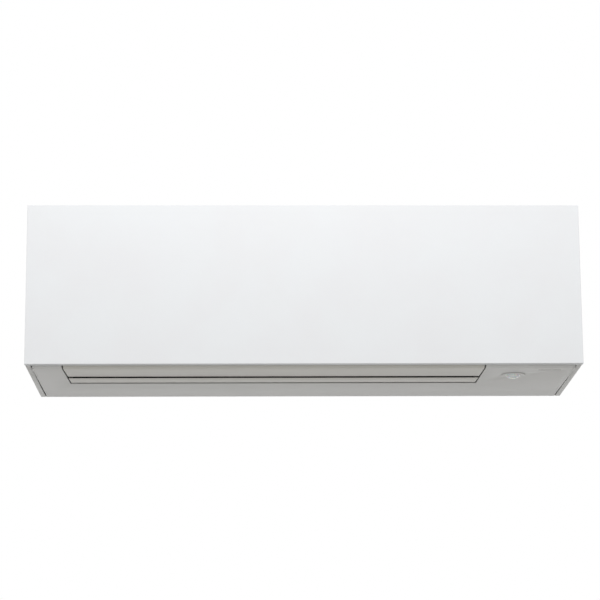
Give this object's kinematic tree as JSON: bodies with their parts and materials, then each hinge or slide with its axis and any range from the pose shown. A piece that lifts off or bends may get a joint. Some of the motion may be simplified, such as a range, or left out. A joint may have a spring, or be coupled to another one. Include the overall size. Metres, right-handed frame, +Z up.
{
  "type": "mini split indoor unit",
  "caption": "Wall-hung air conditioner indoor unit: casing with hinged front panel, two outlet flaps, swing vanes, cross-flow fan, coil, drain pan, lift-out filters and mounting plate.",
  "frame": {"origin": "on the wall, in the middle of the mounting plate's back face", "axes": "+X to the right as seen from the room, +Y into the wall, +Z up"},
  "size_m": [0.998, 0.292, 0.3046],
  "materials": {
    "white_panel": "smooth moulded",
    "white_casing": "fine satin moulded",
    "white_flap": "fine satin moulded",
    "sensor_lens": "translucent moulded",
    "lamp_lens": "smooth moulded",
    "inner_plastic": "moulded",
    "vane_plastic": "moulded",
    "black_plastic": "moulded",
    "black_rubber": "moulded",
    "filter_net": "moulded net",
    "fin_aluminium": "pressed fins",
    "galvanised_sheet": "galvanised sheet",
    "copper": "drawn copper tube",
    "brass": "turned",
    "steel": "zinc plated",
    "circuit_board": "solder mask"
  },
  "bodies": {
    "casing": {"bearing_holder": "black_rubber", "bottom_cover": "white_casing", "chassis": "inner_plastic", "coil_end_plate_left": "galvanised_sheet", "coil_end_plate_right": "galvanised_sheet", "coil_front": "fin_aluminium", "coil_rear": "fin_aluminium", "coil_upper": "fin_aluminium", "display_board": "circuit_board", "drain_outlet": "black_plastic", "drain_pan": "inner_plastic", "electrical_box": "black_plastic", "electrical_box_lid": "galvanised_sheet", "fan_bearing": "brass", "fan_motor": "black_plastic", "flap_bush_front": "black_plastic", "flap_bush_rear": "black_plastic", "flap_motor_front": "steel", "flap_motor_rear": "steel", "flare_nut_gas": "brass", "flare_nut_liquid": "brass", "frame_screw_left": "steel", "frame_screw_right": "steel", "front_frame": "white_casing", "gas_pipe": "copper", "lamp_window": "lamp_lens", "liquid_pipe": "copper", "main_circuit_board": "circuit_board", "motor_clamp": "galvanised_sheet", "mounting_plate": "galvanised_sheet", "return_bends": "copper", "sensor_dome": "sensor_lens", "sensor_ring": "white_casing", "side_cover_left": "white_casing", "side_cover_right": "white_casing", "terminal_block": "inner_plastic", "top_cover": "white_casing", "vane_motor_left": "steel", "vane_motor_right": "steel", "vane_rail_left": "inner_plastic", "vane_rail_right": "inner_plastic"},
    "front_panel": {"front_panel": "white_panel"},
    "front_flap": {"front_flap": "white_flap"},
    "rear_flap": {"rear_flap": "white_flap"},
    "fan": {"fan": "black_plastic", "fan_shaft_left": "steel", "fan_shaft_right": "steel"},
    "filter_left": {"filter_left": "filter_net"},
    "filter_right": {"filter_right": "filter_net"},
    "on_off_button": {"on_off_button": "black_plastic"},
    "vane_left_1": {"vane_left_1": "vane_plastic"},
    "vane_left_2": {"vane_left_2": "vane_plastic"},
    "vane_left_3": {"vane_left_3": "vane_plastic"},
    "vane_left_4": {"vane_left_4": "vane_plastic"},
    "vane_link_left": {"vane_link_left": "inner_plastic"},
    "vane_right_1": {"vane_right_1": "vane_plastic"},
    "vane_right_2": {"vane_right_2": "vane_plastic"},
    "vane_right_3": {"vane_right_3": "vane_plastic"},
    "vane_right_4": {"vane_right_4": "vane_plastic"},
    "vane_link_right": {"vane_link_right": "inner_plastic"}
  },
  "joints": [
    {"name": "front_panel_hinge", "type": "hinge", "parent": "casing", "child": "front_panel", "pos_m": [0, -0.284, 0.1415], "axis": [-1, 0, 0], "range_deg": [0, 70]},
    {"name": "front_flap_hinge", "type": "hinge", "parent": "casing", "child": "front_flap", "pos_m": [0, -0.2, -0.1405], "axis": [1, 0, 0], "range_deg": [0, 80]},
    {"name": "rear_flap_hinge", "type": "hinge", "parent": "casing", "child": "rear_flap", "pos_m": [0, -0.147, -0.1405], "axis": [1, 0, 0], "range_deg": [0, 75]},
    {"name": "fan_spin", "type": "hinge", "parent": "casing", "child": "fan", "pos_m": [0, -0.14, -0.01], "axis": [1, 0, 0], "continuous": true},
    {"name": "filter_left_lift", "type": "slide", "parent": "casing", "child": "filter_left", "axis": [0, 0, 1], "range_m": [0, 0.06]},
    {"name": "filter_right_lift", "type": "slide", "parent": "casing", "child": "filter_right", "axis": [0, 0, 1], "range_m": [0, 0.06]},
    {"name": "on_off_button_press", "type": "slide", "parent": "casing", "child": "on_off_button", "axis": [0, 1, 0], "range_m": [0, 0.002]},
    {"name": "vane_left_1_swing", "type": "hinge", "parent": "casing", "child": "vane_left_1", "pos_m": [-0.37628, -0.10892, -0.11329], "axis": [0, -0.8137, 0.5812], "range_deg": [-35, 35]},
    {"name": "vane_left_2_swing", "type": "hinge", "parent": "casing", "child": "vane_left_2", "pos_m": [-0.28828, -0.10892, -0.11329], "axis": [0, -0.8137, 0.5812], "range_deg": [-35, 35]},
    {"name": "vane_left_3_swing", "type": "hinge", "parent": "casing", "child": "vane_left_3", "pos_m": [-0.20028, -0.10892, -0.11329], "axis": [0, -0.8137, 0.5812], "range_deg": [-35, 35]},
    {"name": "vane_left_4_swing", "type": "hinge", "parent": "casing", "child": "vane_left_4", "pos_m": [-0.11227, -0.10892, -0.11329], "axis": [0, -0.8137, 0.5812], "range_deg": [-35, 35]},
    {"name": "vane_link_left_turn", "type": "hinge", "parent": "vane_left_1", "child": "vane_link_left", "pos_m": [-0.37628, -0.10195, -0.10353], "axis": [0, -0.8137, 0.5812], "range_deg": [-35, 35]},
    {"name": "vane_right_1_swing", "type": "hinge", "parent": "casing", "child": "vane_right_1", "pos_m": [0.00417, -0.10892, -0.11329], "axis": [0, -0.8137, 0.5812], "range_deg": [-35, 35]},
    {"name": "vane_right_2_swing", "type": "hinge", "parent": "casing", "child": "vane_right_2", "pos_m": [0.09218, -0.10892, -0.11329], "axis": [0, -0.8137, 0.5812], "range_deg": [-35, 35]},
    {"name": "vane_right_3_swing", "type": "hinge", "parent": "casing", "child": "vane_right_3", "pos_m": [0.18018, -0.10892, -0.11329], "axis": [0, -0.8137, 0.5812], "range_deg": [-35, 35]},
    {"name": "vane_right_4_swing", "type": "hinge", "parent": "casing", "child": "vane_right_4", "pos_m": [0.26817, -0.10892, -0.11329], "axis": [0, -0.8137, 0.5812], "range_deg": [-35, 35]},
    {"name": "vane_link_right_turn", "type": "hinge", "parent": "vane_right_1", "child": "vane_link_right", "pos_m": [0.00417, -0.10195, -0.10353], "axis": [0, -0.8137, 0.5812], "range_deg": [-35, 35]}
  ],
  "couplings": [
    {"joint": "vane_left_2_swing", "follows": "vane_left_1_swing", "ratio": 1},
    {"joint": "vane_left_3_swing", "follows": "vane_left_1_swing", "ratio": 1},
    {"joint": "vane_left_4_swing", "follows": "vane_left_1_swing", "ratio": 1},
    {"joint": "vane_link_left_turn", "follows": "vane_left_1_swing", "ratio": -1},
    {"joint": "vane_right_2_swing", "follows": "vane_right_1_swing", "ratio": 1},
    {"joint": "vane_right_3_swing", "follows": "vane_right_1_swing", "ratio": 1},
    {"joint": "vane_right_4_swing", "follows": "vane_right_1_swing", "ratio": 1},
    {"joint": "vane_link_right_turn", "follows": "vane_right_1_swing", "ratio": -1}
  ]
}
